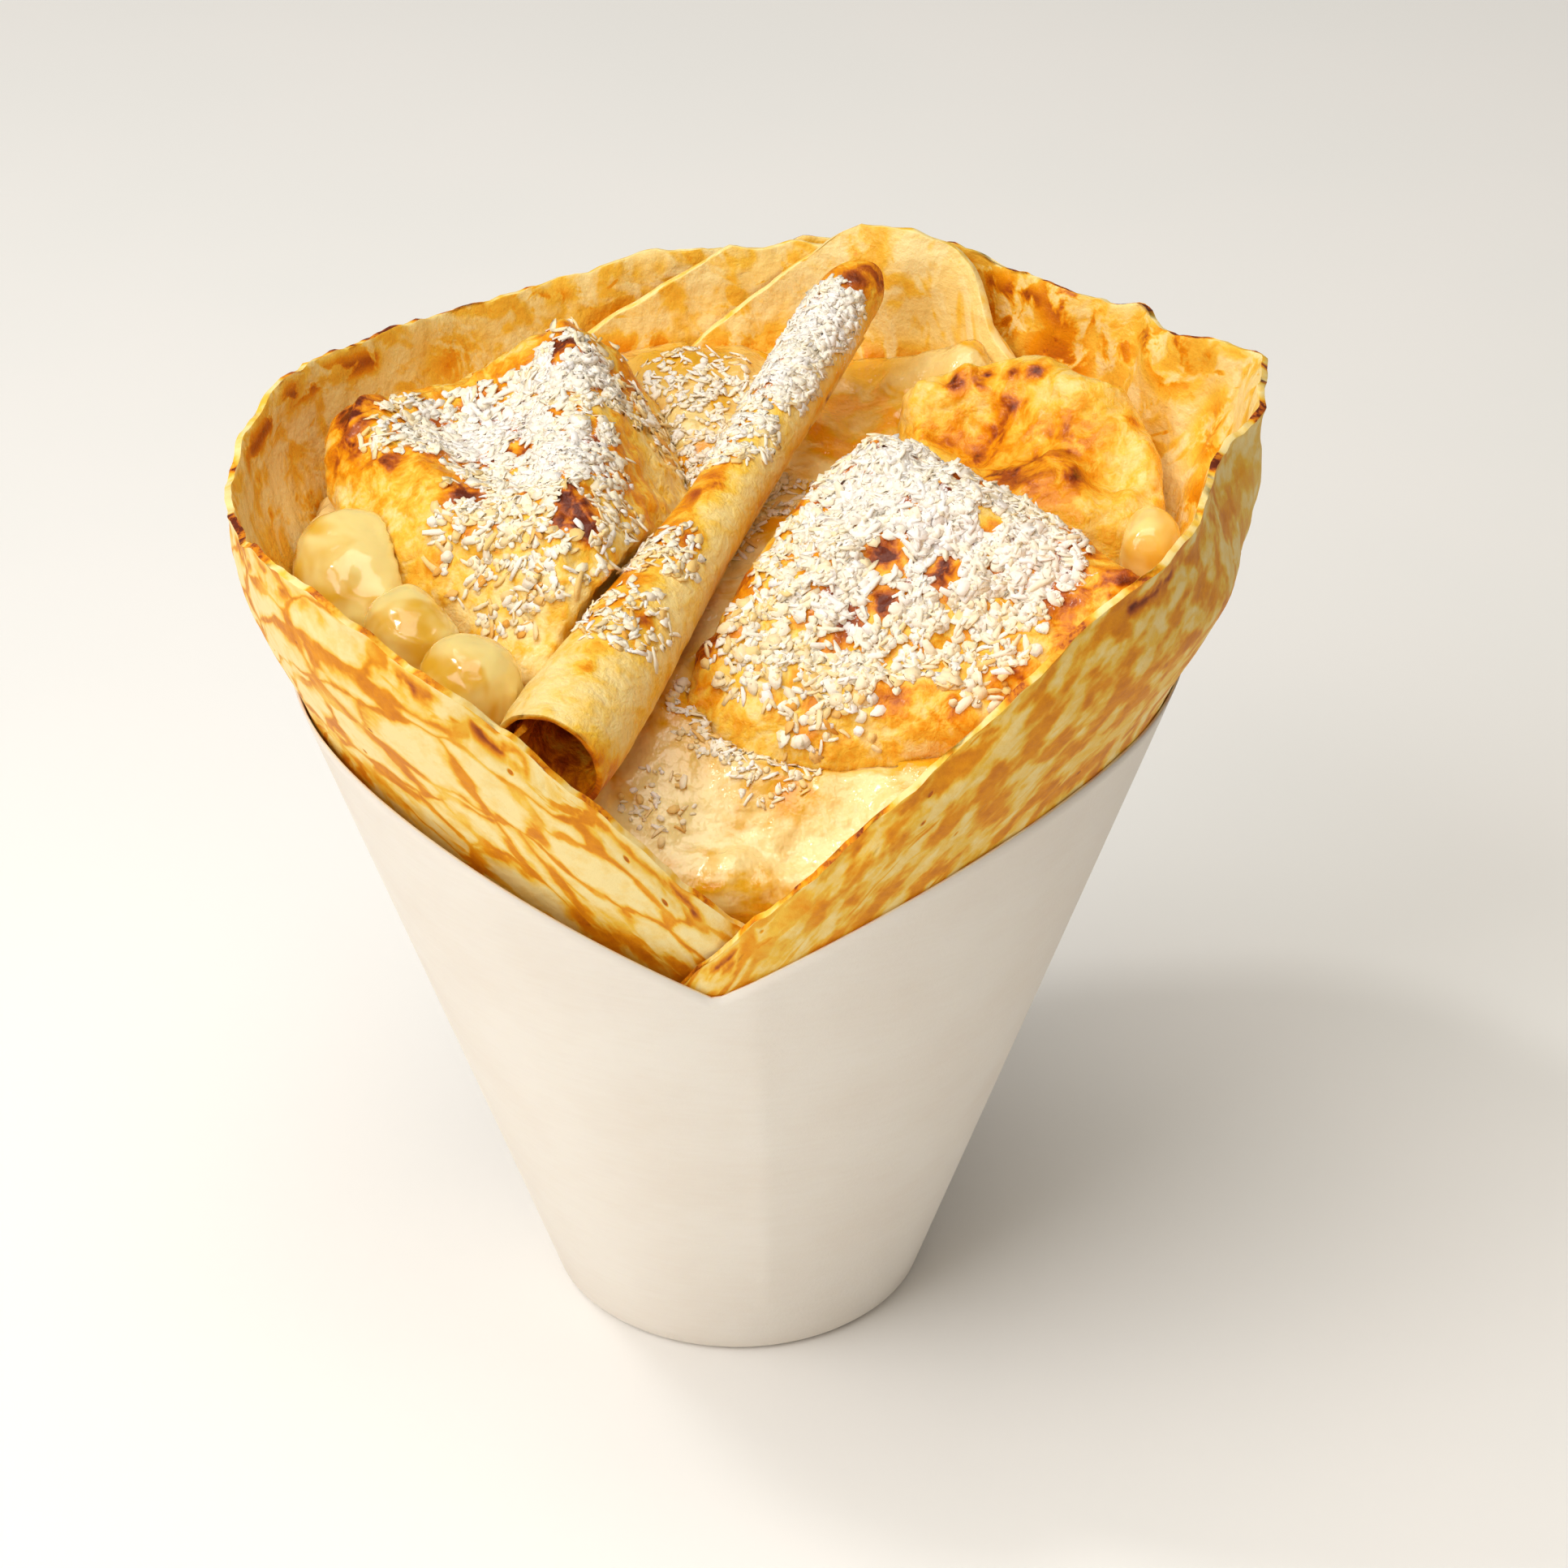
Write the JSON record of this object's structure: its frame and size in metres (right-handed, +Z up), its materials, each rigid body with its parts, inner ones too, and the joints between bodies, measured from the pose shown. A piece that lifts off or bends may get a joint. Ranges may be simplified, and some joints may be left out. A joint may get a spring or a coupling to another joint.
{
  "type": "rolled crepe",
  "caption": "Thin crepe rolled to a cone and filled with cream, soft fruit and folded crepes under white flakes, in a plain flat-bottomed paper cone.",
  "frame": {"origin": "middle of the paper cone's flat base, on the surface it stands on", "axes": "+Z up along the cone; the front, where the crepe's two flaps cross low, faces -Y; +X to the right seen from the front"},
  "size_m": [0.1153, 0.1049, 0.1177],
  "materials": {
    "paper": "matt, uncoated",
    "crepe": "soft satin, pan-browned",
    "crepe_roll": "soft satin",
    "crepe_fold": "buttery satin under flakes",
    "crepe_curl": "buttery satin, browned",
    "cream": "glossy, soft",
    "fruit": "moist, slightly translucent"
  },
  "bodies": {
    "root": {"paper_cone": "paper", "crepe_wrap": "crepe", "crepe_layer_outer": "crepe", "crepe_layer_inner": "crepe", "crepe_roll": "crepe_roll", "crepe_fold_left": "crepe_fold", "crepe_fold_right": "crepe_fold", "crepe_curl": "crepe_curl", "cream": "cream", "fruit_piece_1": "fruit", "fruit_piece_2": "fruit", "fruit_piece_3": "fruit", "fruit_piece_4": "fruit"}
  },
  "joints": []
}
